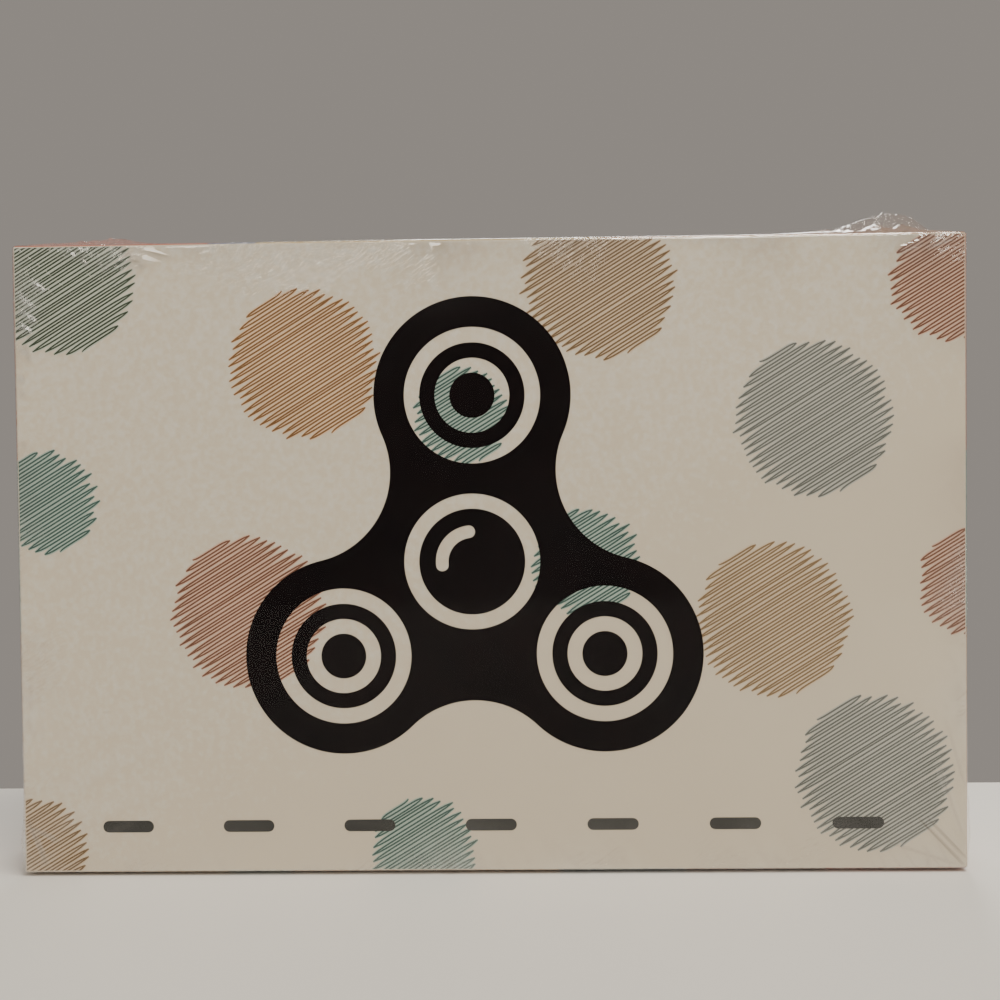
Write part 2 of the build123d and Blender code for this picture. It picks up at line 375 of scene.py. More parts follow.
def makeMoulded(name, colour, roughness, textureScale, depth):
    material, tree, output = startMaterial(name)
    place = objectPlace(tree)
    spark = addNoise(tree, place, textureScale, 3.0, 0.7)
    flow = addNoise(tree, place, 60, 3.0, 0.5, 1.0)
    edge = addNode(tree, "ShaderNodeNewGeometry").outputs["Pointiness"]
    worn = addMap(tree, edge, 0.53, 0.62, 0, 0.35)
    lighter = tuple(min(1.0, channel * 1.6 + 0.02) for channel in colour)
    tone = addMix(tree, addMap(tree, flow, 0.3, 0.7, 0, 0.5), colour, lighter)
    tone = addMix(tree, worn, tone, lighter)
    dull = addMap(tree, flow, 0.2, 0.8, roughness - 0.05, roughness + 0.07)
    gloss = addMath(tree, "ADD", dull, addMath(tree, "MULTIPLY", worn, -0.2))
    bump = addBump(tree, spark, 0.3, depth)
    finishPrincipled(tree, output, {"Base Color": tone, "Roughness": gloss, "Normal": bump})
    return material


tray = {
    "milky": (0.70, 0.69, 0.66),
    "cloud": (0.62, 0.61, 0.58),
    "scuff": (0.80, 0.79, 0.77),
}


def makeTrayPlastic():
    material, tree, output = startMaterial("trayPlastic")
    place = objectPlace(tree)
    cloud = addNoise(tree, place, 35, 4.0)
    chill = addNoise(tree, objectPlace(tree, (90, 30, 18)), 1.0, 3.0, 0.5, 1.0)
    scuff = addNoise(tree, objectPlace(tree, (60, 60, 1400)), 1.0, 2.0, 0.5, 2.0)
    colour = addMix(tree, addMap(tree, cloud, 0.3, 0.7, 0, 1), tray["milky"], tray["cloud"])
    colour = addMix(tree, addMap(tree, scuff, 0.60, 0.78, 0, 0.3), colour, tray["scuff"])
    formed = addMap(tree, chill, 0.3, 0.7, 0.22, 0.36)
    gloss = addMath(tree, "ADD", formed, addMap(tree, scuff, 0.5, 0.8, 0, 0.15))
    links = {
        "Base Color": colour,
        "Roughness": gloss,
        "Normal": addBump(tree, chill, 0.25, 0.3 * mm),
        "Subsurface Weight": 0.08,
        "Subsurface Scale": 2 * mm,
    }
    finishPrincipled(tree, output, links)
    return material


steel = {
    "ring": (0.62, 0.62, 0.63),
    "cage": (0.50, 0.49, 0.46),
    "ball": (0.72, 0.72, 0.73),
    "ballTrack": (0.55, 0.53, 0.50),
    "oil": (0.38, 0.34, 0.27),
    "ringsPerMetre": 9000.0,
}


def makeTurnedSteel(name, centre, colour, roughness):
    # fine rings round the bearing's own axis, as grinding leaves them
    material, tree, output = startMaterial(name)
    across = addMath(tree, "MULTIPLY", axisDistance(tree, centre), steel["ringsPerMetre"])
    outwards = addNode(tree, "ShaderNodeCombineXYZ", {"X": across}).outputs[0]
    rings = addNoise(tree, outwards, 1.0, 3.0, 0.6)
    oil = addNoise(tree, objectPlace(tree), 240, 3.0)
    tone = addMix(tree, addMap(tree, rings, 0.3, 0.7, 0, 1), colour, darker(colour, 0.8))
    tone = addMix(tree, addMap(tree, oil, 0.55, 0.75, 0, 0.25), tone, steel["oil"])
    ground = addMap(tree, rings, 0.2, 0.8, roughness - 0.05, roughness + 0.08)
    gloss = addMath(tree, "ADD", ground, addMap(tree, oil, 0.5, 0.8, 0, 0.12))
    bump = addBump(tree, rings, 0.18, 0.02 * mm)
    finishPrincipled(
        tree,
        output,
        {"Base Color": tone, "Metallic": 1.0, "Roughness": gloss, "Normal": bump, "Anisotropic": 0.4},
    )
    return material


def makeBallSteel():
    material, tree, output = startMaterial("ballSteel")
    place = objectPlace(tree)
    track = addNoise(tree, place, 900, 3.0)
    tone = addMix(tree, addMap(tree, track, 0.4, 0.7, 0, 0.4), steel["ball"], steel["ballTrack"])
    gloss = addMap(tree, track, 0.3, 0.8, 0.06, 0.18)
    finishPrincipled(tree, output, {"Base Color": tone, "Metallic": 1.0, "Roughness": gloss})
    return material


rubber = {
    "black": (0.018, 0.017, 0.018),
    "dust": (0.070, 0.066, 0.062),
    "groovesPerMetre": 5200.0,
}


def makeShieldRubber(name, centre):
    material, tree, output = startMaterial(name)
    across = addMath(tree, "MULTIPLY", axisDistance(tree, centre), rubber["groovesPerMetre"])
    groove = addMath(tree, "SINE", across)
    tooth = addNoise(tree, objectPlace(tree), 2400, 3.0, 0.7)
    dust = addNoise(tree, objectPlace(tree), 420, 4.0)
    tone = addMix(tree, addMap(tree, dust, 0.5, 0.75, 0, 0.5), rubber["black"], rubber["dust"])
    gloss = addMap(tree, tooth, 0.2, 0.8, 0.52, 0.72)
    bump = addBump(tree, tooth, 0.25, 0.03 * mm)
    bump = addBump(tree, groove, 0.20, 0.04 * mm, bump)
    finishPrincipled(tree, output, {"Base Color": tone, "Roughness": gloss, "Normal": bump})
    return material


filmLook = {
    "straightOn": 0.0035,         # share mirrored by each face of the film, seen square on
    "gleam": 0.150,               # the same where the film is folded or crinkled
    "grazing": 0.60,
    "haze": 0.003,
    "hazeColour": (0.85, 0.84, 0.82),
    "paintedWallReflection": (0.050, 0.04),    # painted reflection: share of the printed wall's colour given to the film just above the top edge, and higher up
    "paintedReflectionRise": (0.3 * mm, 4.5 * mm),
    "clear": (0.99, 0.99, 0.985),
    # painted shade: the colour the film passes where its fold crests are darkened
    "paintedCreaseShade": (0.76, 0.73, 0.70),
    "crinkleBand": 16 * mm,
    "crinkleSlant": math.radians(35),
    "crinkleStretch": (280, 280, 1100),
}


def makeClearFilm():
    material, tree, output = startMaterial("clearFilm")
    place = objectPlace(tree, centre=panelMiddle)
    spot = addNode(tree, "ShaderNodeSeparateXYZ", {0: place})
    toSide = addMath(tree, "SUBTRACT", halfWidth, addMath(tree, "ABSOLUTE", spot.outputs["X"]))
    toEnd = addMath(tree, "SUBTRACT", halfHeight, addMath(tree, "ABSOLUTE", spot.outputs["Z"]))
    toEdge = addMath(tree, "MINIMUM", toSide, toEnd)
    # taut in the middle, with fine crinkles in patches along the edges
    nearEdge = addMap(tree, toEdge, 0.0, filmLook["crinkleBand"], 1.0, 0.0)
    patch = addMap(tree, addNoise(tree, place, 34, 2.0), 0.46, 0.62, 0.0, 1.0)
    turn = {"Vector": place, "Angle": filmLook["crinkleSlant"]}
    slant = addNode(tree, "ShaderNodeVectorRotate", turn, rotation_type="Y_AXIS").outputs[0]
    stretch = {0: slant, 1: filmLook["crinkleStretch"]}
    drawn = addNode(tree, "ShaderNodeVectorMath", stretch, operation="MULTIPLY").outputs[0]
    crinkle = addNoise(tree, drawn, 1.0, 3.0, 0.5, 0.6)
    ripple = addNoise(tree, place, 36, 3.0)
    crinkled = addMath(tree, "MULTIPLY", nearEdge, patch)
    bump = addBump(tree, crinkle, crinkled, 0.9 * mm)
    bump = addBump(tree, ripple, 0.15, 0.8 * mm, bump)
    dust = addNoise(tree, place, 900, 3.0, 0.7)
    gloss = addNode(
        tree,
        "ShaderNodeBsdfGlossy",
        {"Color": (1, 1, 1, 1), "Roughness": addMap(tree, dust, 0.4, 0.8, 0.03, 0.09), "Normal": bump},
    )
    # painted shade: the film passes less light along the crests of its folds, read from the fold
    # attribute, which darkens them
    paintedFoldShade = addNode(tree, "ShaderNodeAttribute", attribute_name="fold").outputs["Fac"]
    clearWithPaintedShade = addMix(tree, paintedFoldShade, filmLook["clear"], filmLook["paintedCreaseShade"])
    clear = addNode(tree, "ShaderNodeBsdfTransparent", {"Color": clearWithPaintedShade})
    facing = addNode(tree, "ShaderNodeLayerWeight", {"Blend": 0.5, "Normal": bump}).outputs["Facing"]
    rise = addMath(tree, "MULTIPLY", addMath(tree, "POWER", facing, 5.0), filmLook["grazing"])
    gleam = addNode(tree, "ShaderNodeAttribute", attribute_name="gleam").outputs["Fac"]
    gleam = addMath(tree, "MAXIMUM", gleam, addMath(tree, "MULTIPLY", crinkled, 0.5))
    folds = addMap(tree, gleam, 0.0, 1.0, filmLook["straightOn"], filmLook["gleam"])
    mirror = addMath(tree, "ADD", rise, folds)
    shine = addNode(tree, "ShaderNodeMixShader", {0: mirror, 1: clear.outputs[0], 2: gloss.outputs[0]})
    # painted reflection: film standing above the top edge is given the colour of the printed wall it
    # rises from, standing in for the light that wall bounces into it
    above = addMath(tree, "MULTIPLY", toEnd, -1.0)
    stands = addMath(tree, "GREATER_THAN", addMath(tree, "MINIMUM", spot.outputs["Z"], above), 0.0)
    tint = addMap(tree, above, *filmLook["paintedReflectionRise"], *filmLook["paintedWallReflection"])
    paintedReflectionShare = addMath(tree, "MULTIPLY", stands, tint)
    reflectedWallColour = addBands(tree, place, "X", halfWidth, wallBands["top"])
    hazeShare = addMap(tree, addNoise(tree, place, 14, 5.0, 0.6), 0.4, 0.75, 0.0, filmLook["haze"])
    # the haze takes the printed wall's colour where the film stands above the edge, as a painted
    # reflection
    hazeColour = addMix(tree, stands, filmLook["hazeColour"], reflectedWallColour)
    haze = addNode(tree, "ShaderNodeBsdfDiffuse", {"Color": hazeColour})
    hazeAndPaintedReflection = addMath(tree, "MAXIMUM", hazeShare, paintedReflectionShare)
    whole = addNode(tree, "ShaderNodeMixShader", {0: hazeAndPaintedReflection, 1: shine.outputs[0], 2: haze.outputs[0]})
    tree.links.new(whole.outputs[0], output.inputs["Surface"])
    return material


def makeFloorMaterial():
    material, tree, output = startMaterial("paleTop")
    place = objectPlace(tree)
    cloud = addNoise(tree, place, 9, 4.0)
    colour = addMix(tree, cloud, studio["floor"]["colour"], studio["floor"]["cloud"])
    bump = addBump(tree, addNoise(tree, place, 900, 3.0), 0.08, 0.1 * mm)
    finishPrincipled(tree, output, {"Base Color": colour, "Roughness": 0.5, "Normal": bump})
    return material


def makeFloor():
    # a pale table top that ends a little way behind the box
    top = studio["floor"]
    bm = bmesh.new()
    bmesh.ops.create_grid(bm, x_segments=1, y_segments=1, size=0.5)
    bmesh.ops.scale(bm, vec=(top["wide"], top["back"] - top["front"], 1), verts=bm.verts[:])
    bmesh.ops.translate(bm, vec=(0, (top["back"] + top["front"]) / 2, -top["drop"]), verts=bm.verts[:])
    floor = toObject("floor", bm, [makeFloorMaterial()])


def toObject(name, bm, materials, smooth=False):
    mesh = bpy.data.meshes.new(name)
    bm.to_mesh(mesh)
    bm.free()
    for material in materials:
        mesh.materials.append(material)
    for face in mesh.polygons:
        face.use_smooth = smooth
    piece = bpy.data.objects.new(name, mesh)
    bpy.context.collection.objects.link(piece)
    return piece


def paint(node, material):
    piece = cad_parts[node]
    piece.data.materials.clear()
    piece.data.materials.append(material)


printing = {
    "thickness": 0.012 * mm,
    "tintLift": 0.014 * mm,
    "lineLift": 0.030 * mm,
    "blackLift": 0.050 * mm,
    "margin": 0.55 * mm,     # flat part of the panel ends here, before the rounded fold
}
dots = {
    "slope": 31.5,           # degrees that the strokes rise to the right
    "pitch": 1.68 * mm,      # from one stroke's tip to the next on the same side
    "lineWidth": 0.43 * mm,
    "tintWidth": 1.00 * mm,
    "ragged": 1.9 * mm,
    "wander": 0.22,          # how far a tip strays sideways, as a share of the step between tips
    "shortest": 0.22,        # half the shortest stroke, as a share of the circle's radius
    "bow": 0.09 * mm,
    "tipShare": 0.62,        # a stroke's width at its tips, as a share of the width at its middle
    "cells": 12,             # cells along one stroke
    "layerStep": 0.0006 * mm,
    # name: (line colour, tint colour, places on the front, places on the back)
    # each place is (across, up, radius) in millimetres from the panel's middle
    "hues": {
        "fern": ((0.055, 0.074, 0.050), (0.600, 0.650, 0.560), [(-108.2, 71.3, 19.0)], [(84, 42, 19)]),
        "orange": (
            (0.240, 0.122, 0.052),
            (0.850, 0.620, 0.420),
            [(-46.2, 49.3, 18.9)],
            [(-30, -44, 19)],
        ),
        "sand": (
            (0.215, 0.138, 0.076),
            (0.740, 0.590, 0.430),
            [(28.3, 68.8, 19.3), (-116.4, -73.9, 12.9)],
            [(12, 62, 17)],
        ),
        "brick": (
            (0.205, 0.092, 0.060),
            (0.760, 0.520, 0.400),
            [(115.1, 67.2, 14.2), (-61.3, -13.8, 19.4)],
            [(-98, 24, 18), (104, -66, 15)],
        ),
        "slate": (
            (0.165, 0.172, 0.158),
            (0.560, 0.560, 0.510),
            [(81.6, 33.9, 19.5), (96.7, -55.7, 19.7)],
            [(46, -22, 20)],
        ),
        "teal": (
            (0.066, 0.125, 0.112),
            (0.450, 0.560, 0.500),
            [(-112.5, 14.9, 13.0), (24.7, -1.7, 13.6), (-17.5, -74.2, 13.3), (-6.3, 35.5, 12.1)],
            [(-52, 30, 13), (-104, -62, 16)],
        ),
        "amber": ((0.270, 0.180, 0.100), (0.740, 0.600, 0.440), [(71.5, -16.5, 19.4)], [(112, 0, 12)]),
        "rose": ((0.225, 0.108, 0.073), (0.740, 0.510, 0.400), [(121.2, -7.7, 13.5)], [(-62, 76, 13)]),
    },
}


def addStroke(bm, start, end, side, width, bow, lift):
    # one pen stroke: straight and even, with its ends bent to meet its neighbours in a hairpin
    sideways = side * (end - start).dot(side)
    along = end - start - sideways
    made = bmesh.ops.create_grid(bm, x_segments=dots["cells"], y_segments=1, size=0.5)
    for vertex in made["verts"]:
        share = vertex.co.x + 0.5
        swell = math.sin(math.pi * share)
        bend = 0.5 + 0.5 * (2 * share - 1) ** 5
        taper = dots["tipShare"] + (1 - dots["tipShare"]) * min(1.0, swell * 3.0)
        half = width * taper * vertex.co.y
        spot = start + along * share + sideways * bend + side * (half + bow * swell)
        vertex.co = (spot.x, -lift, spot.y)


def addScribble(bm, across, up, radius, width, lift, seed):
    # a zigzag pen line that fills a circle
    rng = random.Random(seed)
    slope = math.radians(dots["slope"])
    along = Vector((math.cos(slope), math.sin(slope)))
    side = Vector((-along.y, along.x))
    middle = Vector((across, up))
    step = dots["pitch"] / 2
    count = int(2 * radius / step)
    tips = []
    for index in range(count + 1):
        offset = -radius + (index + 0.5) * 2 * radius / (count + 1)
        reach = math.sqrt(max(radius**2 - offset**2, (dots["shortest"] * radius) ** 2))
        reach += rng.uniform(-0.5, 0.5) * dots["ragged"]
        direction = 1 if index % 2 else -1
        wander = rng.uniform(-dots["wander"], dots["wander"]) * step
        tips.append(middle + side * (offset + wander) + along * reach * direction)
    for index, (start, end) in enumerate(zip(tips, tips[1:])):
        bow = rng.uniform(-1, 1) * dots["bow"]
        addStroke(bm, start, end, side, width, bow, lift + (index % 3) * dots["layerStep"])


def trimToPanel(bm, halfX, halfZ):
    right, up = Vector((1, 0, 0)), Vector((0, 0, 1))
    for outward, limit in ((right, halfX), (-right, halfX), (up, halfZ), (-up, halfZ)):
        bmesh.ops.bisect_plane(
            bm,
            geom=bm.verts[:] + bm.edges[:] + bm.faces[:],
            plane_co=outward * (limit - printing["margin"]),
            plane_no=outward,
            clear_outer=True,
        )


def thicken(bm, thickness):
    # faces first turn to the front, then the sheet gets its thickness behind them
    bmesh.ops.recalc_face_normals(bm, faces=bm.faces[:])
    turned = [face for face in bm.faces if face.normal.y > 0]
    bmesh.ops.reverse_faces(bm, faces=turned)
    shell = bmesh.ops.extrude_face_region(bm, geom=bm.faces[:])
    moved = [item for item in shell["geom"] if isinstance(item, bmesh.types.BMVert)]
    bmesh.ops.translate(bm, verts=moved, vec=(0, -thickness, 0))
    bmesh.ops.recalc_face_normals(bm, faces=bm.faces[:])


def printDots(name, places, width, lift, ink, seed, body):
    # drawn round the origin as seen from the front, then set on the lid's front or the base's back
    bm = bmesh.new()
    for number, (across, up, radius) in enumerate(places):
        addScribble(bm, across * mm, up * mm, radius * mm, width, lift, seed + number)
    if body == "lid":
        trimToPanel(bm, halfWidth, halfHeight)
        thicken(bm, printing["thickness"])
        place = Matrix.Translation((panelMiddle.x, panelFace, panelMiddle.z))
    else:
        trimToPanel(bm, baseHalfWidth, baseHalfHeight)
        thicken(bm, printing["thickness"])
        half = Matrix.Rotation(math.radians(180), 4, "Z")
        place = Matrix.Translation((baseMiddle.x, baseHigh.y, baseMiddle.z)) @ half
    bmesh.ops.transform(bm, matrix=place, verts=bm.verts[:])
    piece = toObject(name, bm, [ink])
    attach(piece, body)


def makeDots():
    for order, (hue, (lineColour, tintColour, front, back)) in enumerate(dots["hues"].items()):
        layers = (
            ("tint", tintColour, dots["tintWidth"], printing["tintLift"]),
            ("lines", lineColour, dots["lineWidth"], printing["lineLift"]),
        )
        for layer, colour, width, lift in layers:
            ink = makeInk(f"ink_{hue}_{layer}", colour, darker(colour, 0.90))
            printDots(f"printed_dots_{hue}_{layer}", front, width, lift, ink, 100 * order, "lid")
            printDots(f"back_dots_{hue}_{layer}", back, width, lift, ink, 100 * order + 50, "base")


picture = {
    # millimetres from the panel's middle
    "hub": (-4.3, -1.2),
    "lobes": [(-3.9, 40.8), (-37.2, -24.9), (29.0, -24.8)],
    "lobeRadius": 24.9,
    "waistRadius": 22.9,
    "lobeRings": [17.2, 13.3, 9.45, 5.7],
    "hubRings": [17.2, 13.4],
    "glint": {"radius": 7.6, "from": 96, "to": 186, "width": 3.2},
    "black": (0.0030, 0.0018, 0.0026),
    "blackShade": (0.0052, 0.0020, 0.0026),
}
arcSteps = {"lobe": 72, "waist": 48, "ring": 96, "glint": 24, "glintTip": 12, "barEnd": 16}
weldDistance = 0.0005        # millimetres, like the outlines that it closes


def arcPoints(centre, radius, fromAngle, toAngle, steps):
    points = []
    for index in range(steps + 1):
        angle = fromAngle + (toAngle - fromAngle) * index / steps
        points.append(centre + radius * Vector((math.cos(angle), math.sin(angle))))
    return points


def angleTo(origin, point):
    return math.atan2(point.y - origin.y, point.x - origin.x)


def spinnerOutline():
    # round each lobe, then along the hollow waist to the next
    lobes = [Vector(place) for place in picture["lobes"]]
    reach = picture["lobeRadius"] + picture["waistRadius"]
    waists = []
    for index, lobe in enumerate(lobes):
        following = lobes[(index + 1) % 3]
        middle = (lobe + following) / 2
        along = (following - lobe) / 2
        outward = Vector((along.y, -along.x)).normalized()
        if outward.dot(middle - Vector(picture["hub"])) < 0:
            outward = -outward
        waists.append(middle + outward * math.sqrt(reach**2 - along.length_squared))
    points = []
    for index, lobe in enumerate(lobes):
        before = waists[index - 1]
        after = waists[index]
        start = angleTo(lobe, before)
        end = angleTo(lobe, after)
        while end < start:
            end += 2 * math.pi
        points += arcPoints(lobe, picture["lobeRadius"], start, end, arcSteps["lobe"])
        following = lobes[(index + 1) % 3]
        start = angleTo(after, lobe)
        end = angleTo(after, following)
        while end > start:
            end -= 2 * math.pi
        points += arcPoints(after, picture["waistRadius"], start, end, arcSteps["waist"])[1:-1]
    return points


def glintOutline():
    # a short curved stroke with round ends
    glint = picture["glint"]
    hub = Vector(picture["hub"])
    half = glint["width"] / 2
    start, end = math.radians(glint["from"]), math.radians(glint["to"])
    steps, tipSteps = arcSteps["glint"], arcSteps["glintTip"]
    points = arcPoints(hub, glint["radius"] + half, start, end, steps)
    tip = hub + glint["radius"] * Vector((math.cos(end), math.sin(end)))
    points += arcPoints(tip, half, end, end + math.pi, tipSteps)[1:-1]
    points += arcPoints(hub, glint["radius"] - half, end, start, steps)
    tip = hub + glint["radius"] * Vector((math.cos(start), math.sin(start)))
    points += arcPoints(tip, half, start + math.pi, start + 2 * math.pi, tipSteps)[1:-1]
    return points


def circleOutline(centre, radius):
    return arcPoints(Vector(centre), radius, 0, 2 * math.pi, arcSteps["ring"])[:-1]


def flatPrint(name, outlines, lift, material):
    # closed outlines in millimetres; an outline inside another one is a hole, and so on inwards
    curve = bpy.data.curves.new(name, "CURVE")
    curve.dimensions = "2D"
    curve.fill_mode = "BOTH"
    curve.extrude = printing["thickness"] / 2 / mm
    for outline in outlines:
        spline = curve.splines.new("POLY")
        spline.points.add(len(outline) - 1)
        for point, place in zip(spline.points, outline):
            point.co = (place.x, place.y, 0, 1)
        spline.use_cyclic_u = True
    holder = bpy.data.objects.new(name + "_outline", curve)
    bpy.context.collection.objects.link(holder)
    bpy.context.view_layer.update()
    filled = holder.evaluated_get(bpy.context.evaluated_depsgraph_get())
    flat = bpy.data.meshes.new_from_object(filled)
    bpy.data.objects.remove(holder)
    bm = bmesh.new()
    bm.from_mesh(flat)
    bpy.data.meshes.remove(flat)
    bmesh.ops.remove_doubles(bm, verts=bm.verts[:], dist=weldDistance)
    stand = Matrix.Rotation(math.radians(90), 4, "X")
    place = Matrix.Translation((panelMiddle.x, panelFace - lift, panelMiddle.z))
    bmesh.ops.transform(bm, matrix=place @ stand @ Matrix.Scale(mm, 4), verts=bm.verts[:])
    bmesh.ops.recalc_face_normals(bm, faces=bm.faces[:])
    return toObject(name, bm, [material])


def makeSpinnerPicture():
    outlines = [spinnerOutline()]
    for lobe in picture["lobes"]:
        outlines += [circleOutline(lobe, radius) for radius in picture["lobeRings"]]
    outlines += [circleOutline(picture["hub"], radius) for radius in picture["hubRings"]]
    outlines.append(glintOutline())
    ink = makeInk("ink_black", picture["black"], picture["blackShade"], 0.40, 0.01)
    piece = flatPrint("printed_spinner", outlines, printing["blackLift"], ink)
    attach(piece, "lid")


titleBars = {
    # a row of plain bars along the foot of the panel, in millimetres from its middle
    "count": 7,
    "first": -93.0,
    "last": 92.5,
    "up": -68.2,
    "length": 13.0,
    "height": 3.0,
    "ink": (0.064, 0.064, 0.062),
}


def makeTitleBars():
    half = titleBars["height"] / 2
    straight = titleBars["length"] / 2 - half
    row = titleBars["last"] - titleBars["first"]
    quarter = math.pi / 2
    steps = arcSteps["barEnd"]
    outlines = []
    for index in range(titleBars["count"]):
        middle = titleBars["first"] + row * index / (titleBars["count"] - 1)
        right = Vector((middle + straight, titleBars["up"]))
        left = Vector((middle - straight, titleBars["up"]))
        outline = arcPoints(right, half, -quarter, quarter, steps)
        outline += arcPoints(left, half, quarter, 3 * quarter, steps)
        outlines.append(outline)
    ink = makeInk("ink_charcoal", titleBars["ink"], darker(titleBars["ink"], 0.85))
    piece = flatPrint("printed_bars", outlines, printing["blackLift"], ink)
    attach(piece, "lid")


film = {
    "thickness": 0.035 * mm,
    "cells": {"across": 224, "up": 140, "deep": 16},
    "fineBand": {"across": 26 * mm, "up": 22 * mm},      # the cells are smallest this near the edges
    "fineShare": {"across": 0.44, "up": 0.55},           # share of the cells that lie in that band
    "sag": 0.06 * mm,
    "cornerRadius": 0.9 * mm,
    "faceGap": 0.11 * mm,
    "wallGap": 0.20 * mm,
    "finHeight": 1.3 * mm,
    "finSway": 0.12 * mm,
    "seamGap": 0.05 * mm,
}
pleats = {
    # short slanting folds in patches along each edge of the face
    "height": 1.1 * mm,
    "reach": 6 * mm,
    "start": 0.8 * mm,
    "gaps": 0.40,            # the higher this is, the more of the edge is smooth
    "closeness": 330,
}
cornerFolds = {"height": 0.40 * mm, "reach": 14 * mm, "start": 3 * mm, "rays": 4.5}
creases = [
    # start and end on the face from its middle, half width and height of the ridge, in millimetres,
    # how much painted shade darkens its crest and how brightly its flanks mirror the lamps
    ((119.6, -79.8), (107.5, -67.0), 0.95, 0.30, 0.9, 0.5),
    ((119.8, -77.6), (109.6, -66.8), 0.90, 0.24, 0.8, 0.5),
    ((119.0, -79.5), (98.0, -72.5), 1.20, 0.20, 0.25, 0.4),
    ((119.5, -74.0), (112.0, -52.0), 1.30, 0.22, 0.20, 0.4),
    ((119.5, -60.0), (114.5, -42.0), 1.20, 0.18, 0.20, 0.4),
    ((101.8, 75.1), (110.6, 78.3), 1.45, 0.46, 0.0, 1.0),
    ((108.8, 76.1), (117.2, 79.2), 1.35, 0.42, 0.0, 1.0),
    ((-119.4, 68.0), (-114.2, 63.2), 1.30, 0.42, 0.0, 1.0),
    ((-119.4, 64.4), (-113.8, 60.0), 1.20, 0.38, 0.0, 1.0),
    ((-119.4, 60.6), (-115.0, 57.2), 1.20, 0.36, 0.0, 1.0),
    ((-118.6, 54.4), (-115.4, 51.6), 1.10, 0.32, 0.0, 1.0),
    ((-115.4, 71.0), (-111.4, 67.8), 1.10, 0.34, 0.0, 1.0),
    ((-119.2, 47.0), (-116.6, 44.8), 0.80, 0.24, 0.0, 0.8),
    ((-119.2, 43.6), (-117.4, 42.0), 0.80, 0.24, 0.0, 0.6),
    ((-119.3, 31.0), (-117.2, 29.2), 0.80, 0.24, 0.0, 0.6),
    ((-119.2, 13.0), (-117.4, 11.2), 0.80, 0.24, 0.0, 0.5),
    ((-103.4, 77.2), (-100.4, 74.4), 0.75, 0.20, 0.0, 0.9),
    ((-98.4, 75.8), (-95.8, 73.2), 0.75, 0.20, 0.0, 0.8),
    ((-92.5, 79.2), (-86.0, 73.2), 0.90, 0.26, 0.45, 0.7),
    ((-90.0, 79.6), (-79.0, 76.3), 0.85, 0.22, 0.30, 0.7),
    ((-119.0, -50.0), (-90.0, -37.0), 2.60, 0.36, 0.0, 0.30),
    ((-119.0, -62.0), (-82.0, -45.0), 3.00, 0.42, 0.0, 0.34),
    ((-117.0, -70.0), (-78.0, -54.5), 3.20, 0.42, 0.0, 0.26),
    ((-113.5, -79.5), (-118.8, -66.0), 0.90, 0.26, 0.4, 0.6),
    ((-119.5, -67.5), (-110.5, -72.0), 0.90, 0.22, 0.3, 0.6),
]
crumples = [
    # small patches of tangled folds: middle, reach across and up, and height, in millimetres
    ((-91.0, 77.0), (7.5, 3.6), 0.62),
    ((-104.0, 78.0), (6.0, 2.0), 0.40),
    ((-72.0, 78.6), (9.0, 1.6), 0.34),
    ((112.0, 78.8), (8.0, 1.5), 0.36),
    ((60.0, 78.9), (14.0, 1.2), 0.30),
]
wallFilm = {
    "pressed": 0.03 * mm,    # under the box's weight
    "slack": 0.10 * mm,
    "wrinkle": 0.22 * mm,
    "wrinkleReach": 9 * mm,
    "topRise": 6 * mm,
    "topFall": 8 * mm,
    "sideFall": 4 * mm,
}
bags = {
    # where the film stands off the walls: (place along, reach, height) in millimetres
    "top": [(104, 9, 2.4), (88, 14, 1.6), (-98, 11, 2.2), (-113, 6, 0.9), (-20, 60, 0.35)],
    "left": [(-74, 9, 1.2), (62, 14, 0.35), (-20, 40, 0.25)],
    "right": [(-70, 9, 0.9), (20, 50, 0.2)],
}


def fold(across, up, start, end, width, height, shade, gleam):
    # height, painted shade along the crest, gleam and cover of a straight ridge with flat flanks from
    # start to end; the finer folds give way where it covers them
    line = Vector(end) - Vector(start)
    spot = Vector((across, up)) - Vector(start)
    share = spot.dot(line) / line.length_squared
    if share < 0 or share > 1:
        return 0.0, 0.0, 0.0, 0.0
    away = (spot - line * share).length / width
    fade = 1 - (2 * share - 1) ** 4
    ridge = max(0.0, 1 - away)
    crest = max(0.0, 1 - 2.2 * away)
    flank = min(1.0, 3 * ridge)
    cover = fade * max(0.0, 1 - (away / 2.2) ** 2)
    return height * fade * ridge, shade * fade * crest, gleam * fade * flank, cover


def wave(*place):
    # smooth noise from 0 to 1
    return 0.5 + 0.5 * noise.noise(Vector(place))


def ridged(*place):
    # noise whose crests are sharp, as folds in film are
    return 1 - min(1.0, 2.2 * abs(noise.noise(Vector(place))))


